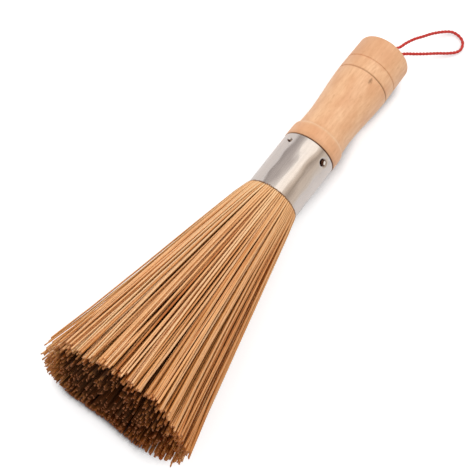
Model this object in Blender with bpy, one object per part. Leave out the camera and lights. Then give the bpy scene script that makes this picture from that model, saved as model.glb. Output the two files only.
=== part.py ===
"""Pan brush: split bamboo strips in a steel ferrule, nailed to a turned wooden handle with a hanging cord.

The turned pieces are drawn upright on one axis, +Z towards the handle's end, with z = 0 at the ferrule's
upper edge. The brush is then laid down on its handle and the flat underside of its fan of strips, tips
towards -Y. Metres, +Z up.
"""

import math

import bmesh
import bpy
import numpy as np
from mathutils import Matrix, Vector

# Fits, and how finely round pieces are cut into facets
SEAT_GAP = 0.0003
SEGMENTS = 48
SMALL_SEGMENTS = 20
CUT_MARGIN = 0.001

# Ferrule
FERRULE_LENGTH = 0.0350
FERRULE_RADIUS = 0.0153
FERRULE_WALL = 0.0005
EDGE_ROUND = 0.0002

# Handle, from its end to its shoulder on the ferrule, and its tenon inside the ferrule
GRIP_LENGTH = 0.0764
END_RADIUS = 0.01535
END_ROUND = 0.0022
BULGE_RADIUS = 0.0156
BULGE_FROM_END = 0.023
GROOVE_COUNT = 2
GROOVE_FROM_END = 0.0160
GROOVE_SPACING = 0.0083
GROOVE_WIDTH = 0.0009
GROOVE_DEPTH = 0.0005
WAIST_RADIUS = 0.01375
WAIST_TO_COLLAR = 0.0104
COVE_LENGTH = 0.0028
COVE_RISE = 0.0010
COLLAR_LENGTH = 0.0090
COLLAR_PROUD = 0.0002
COLLAR_SWELL = 0.0004
COLLAR_SWELL_LENGTH = 0.0032
COLLAR_ROUND = 0.0005
TENON_LENGTH = 0.0140
TENON_CHAMFER = 0.0010
OUTLINE_STEP = 0.0047

# Nails, each in a dimple that it draws into the ferrule
NAIL_COUNT = 4
NAIL_FROM_EDGE = 0.0048
NAIL_TURN = math.radians(37)
NAIL_POINT_TO_AXIS = 0.0049
SHANK_RADIUS = 0.0008
POINT_LENGTH = 0.0018
HEAD_RADIUS = 0.0018
HEAD_RIM = 0.0003
HEAD_DOME = 0.0006
DIMPLE_DEPTH = 0.0007
DIMPLE_FLARE = 0.9

# Bamboo strips
STRIP_WIDTH = 0.00105
STRIP_THICKNESS = 0.00095
STRIP_GAP = 0.00020
LAYER_GAP = 0.00016
STRIP_LENGTH = 0.1396
STRIP_UNEVENNESS = 0.0075
STRIP_TURN = math.radians(8)
# How far a tip may stray to either side and inwards, as shares of the room between two rings of tips
SIDEWAYS_STRAY = 0.4
INWARD_STRAY = 0.6
# Shapes of the spread of the strips' lengths: most end near the longest, a few well short
LENGTH_SPREAD = (1.6, 3.2)
ROOT_RECESS = 0.0025
FAN_RADIUS = 0.0440
FLAT_DEPTH = 0.0040
PRESSED_DEPTH = 0.0005

# Hanging cord, its hole in the handle's end and the knot in the hole
CORD_DIAMETER = 0.0015
CORD_GAP = 0.0004
CORD_STEP = 0.0030
HOLE_CLEARANCE = 0.0008
HOLE_DEPTH = 0.0150
KNOT_LENGTH = 0.0040
# The free loop from the handle's end round and back. Each point is right of the end's middle, beyond it,
# and above the table, there to the cord's underside.
CORD_ROUTE = (
    (-0.0004, 0.0036, 0.0139),
    (0.0017, 0.0070, 0.0131),
    (0.0037, 0.0107, 0.0121),
    (0.0050, 0.0154, 0.0110),
    (0.0072, 0.0216, 0.0092),
    (0.0100, 0.0275, 0.0074),
    (0.0127, 0.0334, 0.0055),
    (0.0174, 0.0396, 0.0034),
    (0.0217, 0.0433, 0.0019),
    (0.0253, 0.0445, 0.0010),
    (0.0287, 0.0442, 0.0004),
    (0.0308, 0.0425, 0.0002),
    (0.0320, 0.0388, 0.0004),
    (0.0311, 0.0356, 0.0009),
    (0.0279, 0.0313, 0.0020),
    (0.0227, 0.0258, 0.0040),
    (0.0176, 0.0201, 0.0060),
    (0.0125, 0.0147, 0.0082),
    (0.0094, 0.0115, 0.0098),
    (0.0072, 0.0088, 0.0112),
    (0.0030, 0.0040, 0.0136),
)

FERRULE_BORE = FERRULE_RADIUS - FERRULE_WALL
INNER_RADIUS = FERRULE_BORE - SEAT_GAP
GRIP_TOP = SEAT_GAP + GRIP_LENGTH
LIP_FROM_END = GRIP_LENGTH - COLLAR_LENGTH
TENON_END = SEAT_GAP - TENON_LENGTH
COLLAR_RADIUS = FERRULE_RADIUS + COLLAR_PROUD
LIP_RADIUS = COLLAR_RADIUS - COLLAR_SWELL
COVE_RADIUS = LIP_RADIUS - COVE_RISE
HOLE_RADIUS = CORD_DIAMETER + CORD_GAP / 2 + HOLE_CLEARANCE
NAIL_SEAT = FERRULE_RADIUS - DIMPLE_DEPTH + SEAT_GAP
ROOT_TOP = TENON_END - SEAT_GAP
ROOT_END = ROOT_RECESS - FERRULE_LENGTH
TIP_PLANE = -FERRULE_LENGTH - STRIP_LENGTH
FAN_FLAT = FAN_RADIUS - FLAT_DEPTH


def clear_scene():
    for old in list(bpy.data.objects):
        bpy.data.objects.remove(old, do_unlink=True)


def principled(name, colour, roughness, metallic=0.0):
    """A material with one base colour."""
    material = bpy.data.materials.new(name)
    material.use_nodes = True
    shader = material.node_tree.nodes["Principled BSDF"]
    shader.inputs["Base Color"].default_value = (*colour, 1.0)
    shader.inputs["Roughness"].default_value = roughness
    shader.inputs["Metallic"].default_value = metallic
    material.diffuse_color = (*colour, 1.0)
    return material


def add_object(name, data, parent=None):
    made = bpy.data.objects.new(name, data)
    bpy.context.scene.collection.objects.link(made)
    made.parent = parent
    return made


def arc(centre, radius, start, stop, steps=3):
    """Points (radius, z) on a round corner, from one angle in degrees to another."""
    angles = np.radians(np.linspace(start, stop, steps + 1))
    return [(centre[0] + radius * math.cos(a), centre[1] + radius * math.sin(a)) for a in angles]


def turned(name, profile, parent=None, segments=SEGMENTS, is_loop=False):
    """Spins a profile of (radius, z) points about Z into one closed body."""
    shape = bmesh.new()
    points = [shape.verts.new((r, 0.0, z)) for r, z in profile]
    edges = [shape.edges.new(pair) for pair in zip(points, points[1:])]
    if is_loop:
        edges.append(shape.edges.new((points[-1], points[0])))
    bmesh.ops.spin(
        shape,
        geom=points + edges,
        cent=(0.0, 0.0, 0.0),
        axis=(0.0, 0.0, 1.0),
        angle=math.tau,
        steps=segments,
        use_merge=True,
    )
    bmesh.ops.remove_doubles(shape, verts=shape.verts, dist=0.000001)
    bmesh.ops.recalc_face_normals(shape, faces=shape.faces)
    mesh = bpy.data.meshes.new(name)
    shape.to_mesh(mesh)
    shape.free()
    mesh.shade_smooth()
    mesh.set_sharp_from_angle(angle=math.radians(35))
    return add_object(name, mesh, parent)


def rod(name, low, low_radius, high, high_radius, parent, pose=None):
    """A round bar or cone between two heights on its own Z axis."""
    profile = [(0.0, high), (high_radius, high), (low_radius, low), (0.0, low)]
    made = turned(name, profile, parent, SMALL_SEGMENTS)
    if pose:
        made.matrix_local = pose
    return made


def combine(target, operation, guide):
    """Joins or cuts a guide shape, which no picture shows."""
    guide.hide_render = True
    guide.display_type = "WIRE"
    step = target.modifiers.new(guide.name, "BOOLEAN")
    step.operation = operation
    step.solver = "EXACT"
    step.object = guide


def ease(start, stop, share):
    """A half cosine from one radius to the next, level at both ends."""
    return start + (stop - start) * 0.5 * (1 - math.cos(math.pi * share))


def grip_radius(from_end):
    """The turned outline at a distance from the handle's end: out to the bulge, in to the waist, and out
    a little to the foot of the cove."""
    waist = LIP_FROM_END - WAIST_TO_COLLAR
    if from_end < BULGE_FROM_END:
        return ease(END_RADIUS, BULGE_RADIUS, from_end / BULGE_FROM_END)
    if from_end < waist:
        return ease(BULGE_RADIUS, WAIST_RADIUS, (from_end - BULGE_FROM_END) / (waist - BULGE_FROM_END))
    return ease(WAIST_RADIUS, COVE_RADIUS, (from_end - waist) / (WAIST_TO_COLLAR - COVE_LENGTH))


def grip_outline():
    """The handle's outer side from its end face down to the foot of the cove, with its scored lines."""
    grooves = [GROOVE_FROM_END + GROOVE_SPACING * i for i in range(GROOVE_COUNT)]
    marks = [(s + side * GROOVE_WIDTH / 2, 0.0) for s in grooves for side in (-1, 1)]
    marks += [(s, GROOVE_DEPTH) for s in grooves]
    for s in np.arange(OUTLINE_STEP, LIP_FROM_END - COVE_LENGTH - OUTLINE_STEP / 4, OUTLINE_STEP):
        if all(abs(s - groove) > GROOVE_WIDTH for groove in grooves):
            marks.append((s, 0.0))
    points = [(0.0, GRIP_TOP)]
    points += arc((END_RADIUS - END_ROUND, GRIP_TOP - END_ROUND), END_ROUND, 90, 0)
    points += [(grip_radius(s) - depth, GRIP_TOP - s) for s, depth in sorted(marks)]
    return points


def collar_outline():
    """The cove that sweeps out to the collar's lip, and the collar down to the shoulder."""
    lip = GRIP_TOP - LIP_FROM_END
    points = []
    for swing in np.radians((0, 32, 58, 76, 90)):
        rise = COVE_RISE * (1 - math.cos(swing))
        points.append((COVE_RADIUS + rise, lip + COVE_LENGTH * (1 - math.sin(swing))))
    points.append((COLLAR_RADIUS, lip - COLLAR_SWELL_LENGTH))
    foot = (COLLAR_RADIUS - COLLAR_ROUND, SEAT_GAP + COLLAR_ROUND)
    return points + arc(foot, COLLAR_ROUND, 0, -90)


def make_handle(parent):
    """Beech handle, turned in one piece with its tenon, with a blind hole in its end for the cord."""
    tenon = [
        (INNER_RADIUS, SEAT_GAP),
        (INNER_RADIUS, TENON_END + TENON_CHAMFER),
        (INNER_RADIUS - TENON_CHAMFER, TENON_END),
        (0.0, TENON_END),
    ]
    handle = turned("handle", grip_outline() + collar_outline() + tenon, parent)
    drill = rod("cord_hole", GRIP_TOP - HOLE_DEPTH, HOLE_RADIUS, GRIP_TOP + CUT_MARGIN, HOLE_RADIUS, parent)
    combine(handle, "DIFFERENCE", drill)
    return handle


def make_ferrule(parent):
    """Drawn steel tube with its edges broken round."""
    low = -FERRULE_LENGTH
    profile = arc((FERRULE_RADIUS - EDGE_ROUND, -EDGE_ROUND), EDGE_ROUND, 90, 0, 2)
    profile += arc((FERRULE_RADIUS - EDGE_ROUND, low + EDGE_ROUND), EDGE_ROUND, 0, -90, 2)
    profile += arc((FERRULE_BORE + EDGE_ROUND, low + EDGE_ROUND), EDGE_ROUND, -90, -180, 2)
    profile += arc((FERRULE_BORE + EDGE_ROUND, -EDGE_ROUND), EDGE_ROUND, 180, 90, 2)
    return turned("ferrule", profile, parent, is_loop=True)


def nail_pose(index):
    """Frame of one nail, with its origin on the brush axis and +Z out through its head."""
    turn = NAIL_TURN + index * math.tau / NAIL_COUNT
    out = Vector((math.sin(turn), -math.cos(turn), 0.0))
    across = Vector((0.0, 0.0, 1.0)).cross(out)
    axes = Matrix((across, out.cross(across), out)).transposed().to_4x4()
    return Matrix.Translation((0.0, 0.0, -NAIL_FROM_EDGE)) @ axes


def nail_outline():
    """Domed head, straight shank and point, from the top of the dome down."""
    dome = (HEAD_RADIUS**2 + HEAD_DOME**2) / (2 * HEAD_DOME)
    top = NAIL_SEAT + HEAD_RIM + HEAD_DOME
    edge = math.degrees(math.acos(HEAD_RADIUS / dome))
    head = [(0.0, top)] + arc((0.0, top - dome), dome, 90, edge, 4)[1:] + [(HEAD_RADIUS, NAIL_SEAT)]
    return head + [
        (SHANK_RADIUS, NAIL_SEAT),
        (SHANK_RADIUS, NAIL_POINT_TO_AXIS + POINT_LENGTH),
        (0.0, NAIL_POINT_TO_AXIS),
    ]


def make_nail(index, handle, ferrule, parent):
    """Drives a nail through the ferrule. Its head draws the sheet into the wood as a dimple, and both
    pieces give way to the dimple and to the shank."""
    label = str(index + 1)
    pose = nail_pose(index)
    floor = FERRULE_RADIUS - DIMPLE_DEPTH
    back = floor - FERRULE_WALL
    recess = back - SEAT_GAP
    inside_wall = FERRULE_BORE + FERRULE_WALL / 5
    floor_radius = HEAD_RADIUS + SEAT_GAP
    back_radius = floor_radius + FERRULE_WALL / 2

    def flared(name, low, radius, high):
        return rod(name + label, low, radius, high, radius + (high - low) * DIMPLE_FLARE, parent, pose)

    def shank_hole(name, low, high):
        radius = SHANK_RADIUS + SEAT_GAP
        return rod(name + label, low, radius, high, radius, parent, pose)

    combine(ferrule, "UNION", flared("dimple_back_", back, back_radius, inside_wall))
    combine(ferrule, "DIFFERENCE", flared("dimple_", floor, floor_radius, FERRULE_RADIUS + CUT_MARGIN))
    combine(ferrule, "DIFFERENCE", shank_hole("nail_hole_", back - CUT_MARGIN, floor + CUT_MARGIN))
    combine(handle, "DIFFERENCE", flared("dimple_recess_", recess, back_radius + SEAT_GAP, FERRULE_RADIUS))
    combine(handle, "DIFFERENCE", shank_hole("pilot_", NAIL_POINT_TO_AXIS - SEAT_GAP, recess + CUT_MARGIN))
    nail = turned("nail_" + label, nail_outline(), parent, SMALL_SEGMENTS)
    nail.matrix_local = pose
    return nail


def rest_angle():
    """The brush axis's slope when the brush lies on its handle and on the fan's flat underside."""
    outline = [point for point in grip_outline() + collar_outline() if point[0] > 0]
    return min(math.atan2(FAN_FLAT - r, z - TIP_PLANE) for r, z in outline)


def table_below_axis(z):
    """Distance from the brush axis to the table, measured square to the axis, at a height z on it."""
    return FAN_FLAT + (TIP_PLANE - z) * math.tan(rest_angle())


def strip_rings():
    """How many rings of strips the ferrule's mouth takes, and their spacing where they leave the roots.

    The outer ring clears the mouth on its straight way from the roots out to the fan's edge.
    """
    share = ROOT_RECESS / (ROOT_END - TIP_PLANE)
    mouth = INNER_RADIUS - STRIP_WIDTH / 2
    outer = (mouth - FAN_RADIUS * share) / (1 - share)
    count = int(outer / (STRIP_THICKNESS + LAYER_GAP))
    return count, outer / count


def section(centre, turn, z):
    """The four corners of a strip's cut across."""
    along = Vector((math.cos(turn), math.sin(turn), 0.0)) * (STRIP_THICKNESS / 2)
    across = Vector((-math.sin(turn), math.cos(turn), 0.0)) * (STRIP_WIDTH / 2)
    middle = Vector((*centre, z))
    return [middle + along * i + across * j for i, j in ((-1, -1), (1, -1), (1, 1), (-1, 1))]


def strip_sections(radius, pitch, spread, angle, rng):
    """Root and tip sections of one straight strip, whose root lies on a ring of the given radius.

    The tips lie in the roots' own pattern, spread to the fan's outline. They wander by less than the
    room that the spreading leaves between two rings of tips, so that no two strips cross. Down the fan's
    underside the outline is flat on the table.
    """
    tip_z = TIP_PLANE + STRIP_UNEVENNESS * rng.beta(*LENGTH_SPREAD)
    room = (spread - 1) * pitch
    sideways = rng.uniform(-SIDEWAYS_STRAY, SIDEWAYS_STRAY) * room
    swing = angle + sideways / (spread * radius)
    outline = 1.0
    if math.sin(swing) > 0:
        flat = table_below_axis(tip_z) - STRIP_THICKNESS / 2 + PRESSED_DEPTH
        outline = min(1.0, flat / math.sin(swing) / FAN_RADIUS)
    reach = spread * radius * outline - rng.uniform(0.0, INWARD_STRAY) * room
    turn = angle + rng.uniform(-STRIP_TURN, STRIP_TURN)
    root = (radius * math.cos(angle), radius * math.sin(angle))
    tip = (reach * math.cos(swing), reach * math.sin(swing))
    return section(root, turn, ROOT_END + SEAT_GAP), section(tip, turn, tip_z)


def strips_mesh():
    """All the strips as closed four-sided bars, ring after ring."""
    rng = np.random.default_rng(5)
    ring_count, pitch = strip_rings()
    spread = FAN_RADIUS / (ring_count * pitch)
    points = []
    faces = []
    for ring in range(1, ring_count + 1):
        radius = ring * pitch
        in_ring = int(math.tau * (radius - STRIP_THICKNESS / 2) / (STRIP_WIDTH + STRIP_GAP))
        first_angle = rng.uniform(0, math.tau)
        for i in range(in_ring):
            angle = first_angle + math.tau * i / in_ring
            root, tip = strip_sections(radius, pitch, spread, angle, rng)
            base = len(points)
            points += root + tip
            faces.append([base, base + 1, base + 2, base + 3])
            faces.append([base + 7, base + 6, base + 5, base + 4])
            for side in range(4):
                after = (side + 1) % 4
                faces.append([base + after, base + side, base + 4 + side, base + 4 + after])
    mesh = bpy.data.meshes.new("strips")
    mesh.from_pydata(points, [], faces)
    return mesh


def make_bristles(parent):
    """The strips' packed and glued roots, with each free strip growing out of their lower face."""
    roots = [(0.0, ROOT_TOP), (INNER_RADIUS, ROOT_TOP), (INNER_RADIUS, ROOT_END), (0.0, ROOT_END)]
    bristles = turned("bamboo_bristles", roots, parent)
    combine(bristles, "UNION", add_object("strips", strips_mesh(), parent))
    return bristles


def cut_flat_on_table(bristles):
    """Trims what the fan's underside would reach below the table, where the strips are pressed flat."""
    shape = bmesh.new()
    size = 4 * (GRIP_TOP - TIP_PLANE)
    bmesh.ops.create_cube(shape, size=size, matrix=Matrix.Translation((0.0, 0.0, -size / 2)))
    mesh = bpy.data.meshes.new("table")
    shape.to_mesh(mesh)
    shape.free()
    combine(bristles, "DIFFERENCE", add_object("table", mesh))


def lay_down(brush, pieces):
    """Tips the upright brush over onto the table and centres it on the origin."""
    slope = rest_angle()
    height = FAN_FLAT * math.cos(slope) + TIP_PLANE * math.sin(slope)
    brush.rotation_euler = (-(math.pi / 2 + slope), 0.0, 0.0)
    brush.location = (0.0, 0.0, height)
    bpy.context.view_layer.update()
    graph = bpy.context.evaluated_depsgraph_get()
    corners = []
    for piece in pieces:
        posed = piece.evaluated_get(graph)
        mesh = posed.to_mesh()
        corners += [posed.matrix_world @ vertex.co for vertex in mesh.vertices]
        posed.to_mesh_clear()
    spread = np.array(corners)
    middle = (spread.min(axis=0) + spread.max(axis=0)) / 2
    brush.location = (-middle[0], -middle[1], height)
    bpy.context.view_layer.update()


def between(p0, p1, p2, p3, share):
    """A point from p1 to p2 on the centripetal curve through four points."""

    def mix(a, b, start, stop):
        return a + (b - a) * ((time - start) / (stop - start))

    t1 = math.sqrt((p1 - p0).length)
    t2 = t1 + math.sqrt((p2 - p1).length)
    t3 = t2 + math.sqrt((p3 - p2).length)
    time = t1 + (t2 - t1) * share
    a1, a2, a3 = mix(p0, p1, 0.0, t1), mix(p1, p2, t1, t2), mix(p2, p3, t2, t3)
    return mix(mix(a1, a2, 0.0, t2), mix(a2, a3, t1, t3), t1, t2)


def smooth_through(knots, step):
    """The curve through the knots, read off at even steps of its length."""
    whole = [2 * knots[0] - knots[1]] + knots + [2 * knots[-1] - knots[-2]]
    fine = [knots[0]]
    for i in range(1, len(whole) - 2):
        fine += [between(*whole[i - 1 : i + 3], k / 20) for k in range(1, 21)]
    lengths = np.cumsum([0.0] + [(b - a).length for a, b in zip(fine, fine[1:])])
    wanted = np.linspace(0.0, lengths[-1], round(lengths[-1] / step) + 1)
    axes = [np.interp(wanted, lengths, [point[axis] for point in fine]) for axis in range(3)]
    return list(zip(*axes))


def make_cord(brush):
    """The twine's loop, with both ends straight in the handle's hole, side by side above the knot."""
    out = brush.matrix_world.to_3x3() @ Vector((0.0, 0.0, 1.0))
    end = brush.matrix_world @ Vector((0.0, 0.0, GRIP_TOP))
    side = Vector(((CORD_DIAMETER + CORD_GAP) / 2, 0.0, 0.0))
    depth = HOLE_DEPTH - KNOT_LENGTH - SEAT_GAP * 2
    steps = [0.0, depth / 2, depth]
    going = [end - side - out * step for step in reversed(steps)]
    loop = [Vector((end.x + x, end.y + y, z + CORD_DIAMETER / 2)) for x, y, z in CORD_ROUTE]
    coming = [end + side - out * step for step in steps]
    points = smooth_through(going + loop + coming, CORD_STEP)
    curve = bpy.data.curves.new("hanging_cord", "CURVE")
    curve.dimensions = "3D"
    curve.bevel_depth = CORD_DIAMETER / 2
    curve.bevel_resolution = 2
    curve.use_fill_caps = True
    spline = curve.splines.new("POLY")
    spline.points.add(len(points) - 1)
    for point, place in zip(spline.points, points):
        point.co = (*place, 1.0)
    return add_object("hanging_cord", curve)


def make_knot(parent):
    """The cord's two ends tied together, a rounded lump glued in the bottom of its hole."""
    half = KNOT_LENGTH / 2
    middle = GRIP_TOP - HOLE_DEPTH + SEAT_GAP + half
    swings = np.radians(np.linspace(67.5, -67.5, 7))
    side = [((HOLE_RADIUS - SEAT_GAP) * math.cos(a), middle + half * math.sin(a)) for a in swings]
    return turned("cord_knot", [(0.0, middle + half)] + side + [(0.0, middle - half)], parent, SMALL_SEGMENTS)


def main():
    clear_scene()
    beech = principled("beech", (0.80, 0.53, 0.32), 0.55)
    steel = principled("stainless_steel", (0.62, 0.60, 0.58), 0.28, 1.0)
    nail_steel = principled("nail_steel", (0.48, 0.45, 0.42), 0.35, 1.0)
    bamboo = principled("bamboo", (0.72, 0.42, 0.18), 0.6)
    twine = principled("red_twine", (0.62, 0.04, 0.04), 0.8)

    brush = add_object("brush_axis", None)
    handle = make_handle(brush)
    ferrule = make_ferrule(brush)
    nails = [make_nail(index, handle, ferrule, brush) for index in range(NAIL_COUNT)]
    bristles = make_bristles(brush)
    knot = make_knot(brush)
    cut_flat_on_table(bristles)
    lay_down(brush, [handle, ferrule, bristles] + nails)
    cord = make_cord(brush)

    finishes = [(handle, beech), (ferrule, steel), (bristles, bamboo), (knot, twine), (cord, twine)]
    for made, material in finishes + [(nail, nail_steel) for nail in nails]:
        made.data.materials.append(material)


main()
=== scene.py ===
# %% [markdown]
# # A pan brush of split bamboo
# The real brush is a turned beech handle, a steel ferrule nailed over its tenon, some hundreds of split
# bamboo strips glued into the ferrule, and a twisted red cord that comes out of the handle's end. It lies
# on its handle and on the underside of its fan of strips.
#
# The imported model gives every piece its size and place. This lesson dresses it: each step makes one piece
# as a surface worked out with numpy, and then its finish.

import bpy
import numpy as np
from mathutils import Matrix


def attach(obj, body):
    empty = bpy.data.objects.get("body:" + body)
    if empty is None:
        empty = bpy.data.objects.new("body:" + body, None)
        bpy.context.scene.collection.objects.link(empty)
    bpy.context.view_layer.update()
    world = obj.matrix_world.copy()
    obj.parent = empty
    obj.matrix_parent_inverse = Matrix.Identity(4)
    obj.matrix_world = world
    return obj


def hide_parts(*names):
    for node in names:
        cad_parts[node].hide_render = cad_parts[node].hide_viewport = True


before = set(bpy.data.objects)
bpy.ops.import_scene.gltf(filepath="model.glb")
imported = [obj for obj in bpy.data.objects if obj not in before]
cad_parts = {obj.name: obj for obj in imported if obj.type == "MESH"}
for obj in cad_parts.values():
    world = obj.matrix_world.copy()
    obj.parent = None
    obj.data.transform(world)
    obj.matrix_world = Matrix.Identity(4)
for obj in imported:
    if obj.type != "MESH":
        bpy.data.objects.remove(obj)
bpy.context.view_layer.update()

print("nodes:", ", ".join(sorted(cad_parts)))

# %% [markdown]
# ## The brush's own axis
# Turned and rolled pieces are easiest to describe on their own axis. Here +Z of the brush runs towards the
# handle's end, and z = 0 is the ferrule's upper edge. +Y of the brush points at the table. The brush lies
# tilted by its rest angle, so three directions and one point carry every piece to its place.

# %% Carry points from the brush's axis to the table
REST_ANGLE = np.radians(5.65138)
BRUSH_ORIGIN = np.array((0.000105, 0.049608, 0.022612))
BRUSH_AXES = np.array((
    (1.0, 0.0, 0.0),
    (0.0, -np.sin(REST_ANGLE), -np.cos(REST_ANGLE)),
    (0.0, np.cos(REST_ANGLE), -np.sin(REST_ANGLE)),
))


def laid_down(points):
    """Each point is its x, y and z times the brush's three directions, added to the brush's origin."""
    return np.asarray(points) @ BRUSH_AXES + BRUSH_ORIGIN


GRIP_TOP = 0.0767
END_CENTRE = laid_down((0.0, 0.0, GRIP_TOP))
print("middle of the handle's end:", END_CENTRE.round(4))

# %% [markdown]
# ## The camera
# The photographer stood above the tips and looked steeply down, with the camera rolled so that the brush
# runs from the lower left to the upper right. A long lens keeps the handle's far end nearly as large as
# the near tips. Its matrix holds its right, up and backward directions, and its place.

# %% Place the camera
CAMERA_FROM_END = np.array((-0.00379, -0.35187, 0.72876))
LOOK = np.array((0.0, 0.29158, -0.95655))
UP = np.array((-0.6181, 0.75194, 0.22921))


def put_in_scene(name, data):
    """An object that shows the data, as part of the scene."""
    made = bpy.data.objects.new(name, data)
    bpy.context.scene.collection.objects.link(made)
    return made


def standing(right, up, back, place):
    """The matrix that has these three directions and the place as its columns."""
    columns = np.column_stack((right, up, back, place))
    return Matrix(np.vstack((columns, (0.0, 0.0, 0.0, 1.0))).tolist())


camera_data = bpy.data.cameras.new("photo_camera")
camera_data.sensor_width = 36.0
camera_data.lens = 109.5
camera_place = np.append(END_CENTRE[:2], 0.0) + CAMERA_FROM_END
camera = put_in_scene("photo_camera", camera_data)
camera.matrix_world = standing(np.cross(LOOK, UP), UP, -LOOK, camera_place)
bpy.context.scene.camera = camera
print("camera at", camera_place.round(3), "with a", camera_data.lens, "mm lens")

# %% [markdown]
# ## From rings of points to a mesh
# Nearly everything here is a row of rings: a turned handle, a tube, a strip, a cord. A table of point
# numbers with one line for each ring turns them into faces. A piece that closes at its ends has one more
# line before the first ring and after the last, in which every place holds the same single point.

# %% Angles, directions and tables of point numbers
def full_turn(columns):
    """The angle of each column of a ring, in even steps from 0."""
    return np.linspace(0, 2 * np.pi, columns, endpoint=False)


def on_circle(radius, angle):
    """Points at r cos a and r sin a."""
    return np.column_stack((radius * np.cos(angle), radius * np.sin(angle)))


def unit(directions):
    """Each direction divided by its own length."""
    return directions / np.linalg.norm(directions, axis=-1, keepdims=True)


def faces_of(table):
    """Every face joins two neighbouring lines and two neighbouring columns, the last column to the first.
    The second table gives each corner's line and column before it wraps round."""
    line, column = np.meshgrid(*(np.arange(n) for n in (len(table) - 1, table.shape[1])), indexing="ij")
    corners = [np.stack((line + i, column + j), -1) for i, j in ((0, 0), (0, 1), (1, 1), (1, 0))]
    places = np.stack(corners, -2).reshape(-1, 4, 2)
    return table[places[..., 0], places[..., 1] % table.shape[1]], places


def capped(rings, first, last):
    """Points, faces and the corners' places of rings that close in a first and a last point."""
    lines, columns = rings.shape[:2]
    inner = np.arange(lines * columns).reshape(lines, columns) + 1
    table = np.vstack((np.zeros(columns, int), inner, np.full(columns, lines * columns + 1)))
    return np.vstack((first, rings.reshape(-1, 3), last)), *faces_of(table)


# %% [markdown]
# ## One way to make every mesh
# foreach_set puts whole arrays into a mesh, which is much faster than adding points one by one. The helper
# also works out the closed volume. If that comes out negative the faces point inwards, and it turns them.

# %% Put arrays into a mesh
def signed_volume(points, faces):
    """Sum of the pyramids from the origin to both triangles of every face, a sixth of a . (b x c) each."""
    a, b, c, d = (points[faces[:, k]] for k in range(4))
    return (np.sum(a * np.cross(b, c)) + np.sum(a * np.cross(c, d))) / 6


def make_piece(name, points, faces, smooth_below, uv=None, **point_values):
    """A mesh object from points and faces of four corners, of which two may be the same point. Edges are
    sharp from smooth_below degrees on. uv has two numbers for each corner of each face. Each of point_values
    becomes an attribute of the points."""
    uv = np.zeros((*faces.shape, 2)) if uv is None else uv
    if signed_volume(points, faces) < 0:
        faces, uv = faces[:, ::-1], uv[:, ::-1]
    kept = faces != np.roll(faces, -1, axis=1)
    counts = kept.sum(axis=1)
    mesh = bpy.data.meshes.new(name)
    mesh.vertices.add(len(points))
    mesh.vertices.foreach_set("co", np.ascontiguousarray(points, np.float32).ravel())
    mesh.loops.add(int(counts.sum()))
    mesh.loops.foreach_set("vertex_index", faces[kept].astype(np.int32))
    mesh.polygons.add(len(faces))
    mesh.polygons.foreach_set("loop_start", (np.cumsum(counts) - counts).astype(np.int32))
    mesh.update(calc_edges=True)
    mesh.uv_layers.new(name="surface").uv.foreach_set("vector", uv[kept].astype(np.float32).ravel())
    for label, values in point_values.items():
        attribute = mesh.attributes.new(label, "FLOAT", "POINT")
        attribute.data.foreach_set("value", np.ascontiguousarray(values, np.float32).ravel())
    mesh.shade_smooth()
    mesh.set_sharp_from_angle(angle=np.radians(smooth_below))
    piece = put_in_scene(name, mesh)
    print(f"{name}: {len(points)} points, {len(faces)} faces, closed mesh changed: {mesh.validate()}")
    return piece


def settle(piece, material, slot, *nodes):
    """The piece gets its finish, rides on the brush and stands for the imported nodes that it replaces."""
    piece.data.materials.append(material)
    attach(piece, "root")
    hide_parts(*nodes)


# %% [markdown]
# ## The hanging cord's route
# The cord is about 14 cm of two-ply twine. Both ends sit in a blind hole in the handle's end, and the loop
# leans down and lies on the table. The route's points are given, right of the end's middle, beyond it, and
# above the table. A centripetal curve through them has no kinks and no overshoot.

# %% The route's points and the curve through them
CORD_DIAMETER = 0.0015
CORD_GAP = 0.0004
IN_HOLE = 0.0104
POINTS_PER_STRETCH = 20
CORD_STEP = 0.00035
CORD_ROUTE = np.array((
    (-0.0004, 0.0036, 0.0139),
    (0.0017, 0.0070, 0.0131),
    (0.0037, 0.0107, 0.0121),
    (0.0050, 0.0154, 0.0110),
    (0.0073, 0.0215, 0.0092),
    (0.0103, 0.0271, 0.0074),
    (0.0132, 0.0327, 0.0055),
    (0.0177, 0.0392, 0.0034),
    (0.0217, 0.0433, 0.0019),
    (0.0252, 0.0446, 0.0010),
    (0.0286, 0.0443, 0.0004),
    (0.0306, 0.0428, 0.0002),
    (0.0318, 0.0391, 0.0004),
    (0.0309, 0.0359, 0.0009),
    (0.0277, 0.0316, 0.0020),
    (0.0225, 0.0261, 0.0040),
    (0.0174, 0.0203, 0.0060),
    (0.0124, 0.0148, 0.0082),
    (0.0094, 0.0116, 0.0098),
    (0.0072, 0.0088, 0.0112),
    (0.0030, 0.0040, 0.0136),
))


def through(knots, per_stretch):
    """Centripetal curve: each stretch blends three lines, then two, then one, over times that grow with the
    square root of the distance between its four knots."""
    whole = np.vstack((2 * knots[:1] - knots[1:2], knots, 2 * knots[-1:] - knots[-2:-1]))
    p0, p1, p2, p3 = (whole[k : len(whole) - 3 + k, None] for k in range(4))
    t1 = np.sqrt(np.linalg.norm(p1 - p0, axis=-1, keepdims=True))
    t2 = t1 + np.sqrt(np.linalg.norm(p2 - p1, axis=-1, keepdims=True))
    t3 = t2 + np.sqrt(np.linalg.norm(p3 - p2, axis=-1, keepdims=True))
    time = t1 + (t2 - t1) * np.linspace(0, 1, per_stretch, endpoint=False)[None, :, None]

    def mix(a, b, start, stop):
        return a + (b - a) * (time - start) / (stop - start)

    a1, a2, a3 = mix(p0, p1, 0 * t1, t1), mix(p1, p2, t1, t2), mix(p2, p3, t2, t3)
    curve = mix(mix(a1, a2, 0 * t1, t2), mix(a2, a3, t1, t3), t1, t2)
    return np.vstack((curve.reshape(-1, 3), knots[-1:]))


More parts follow.
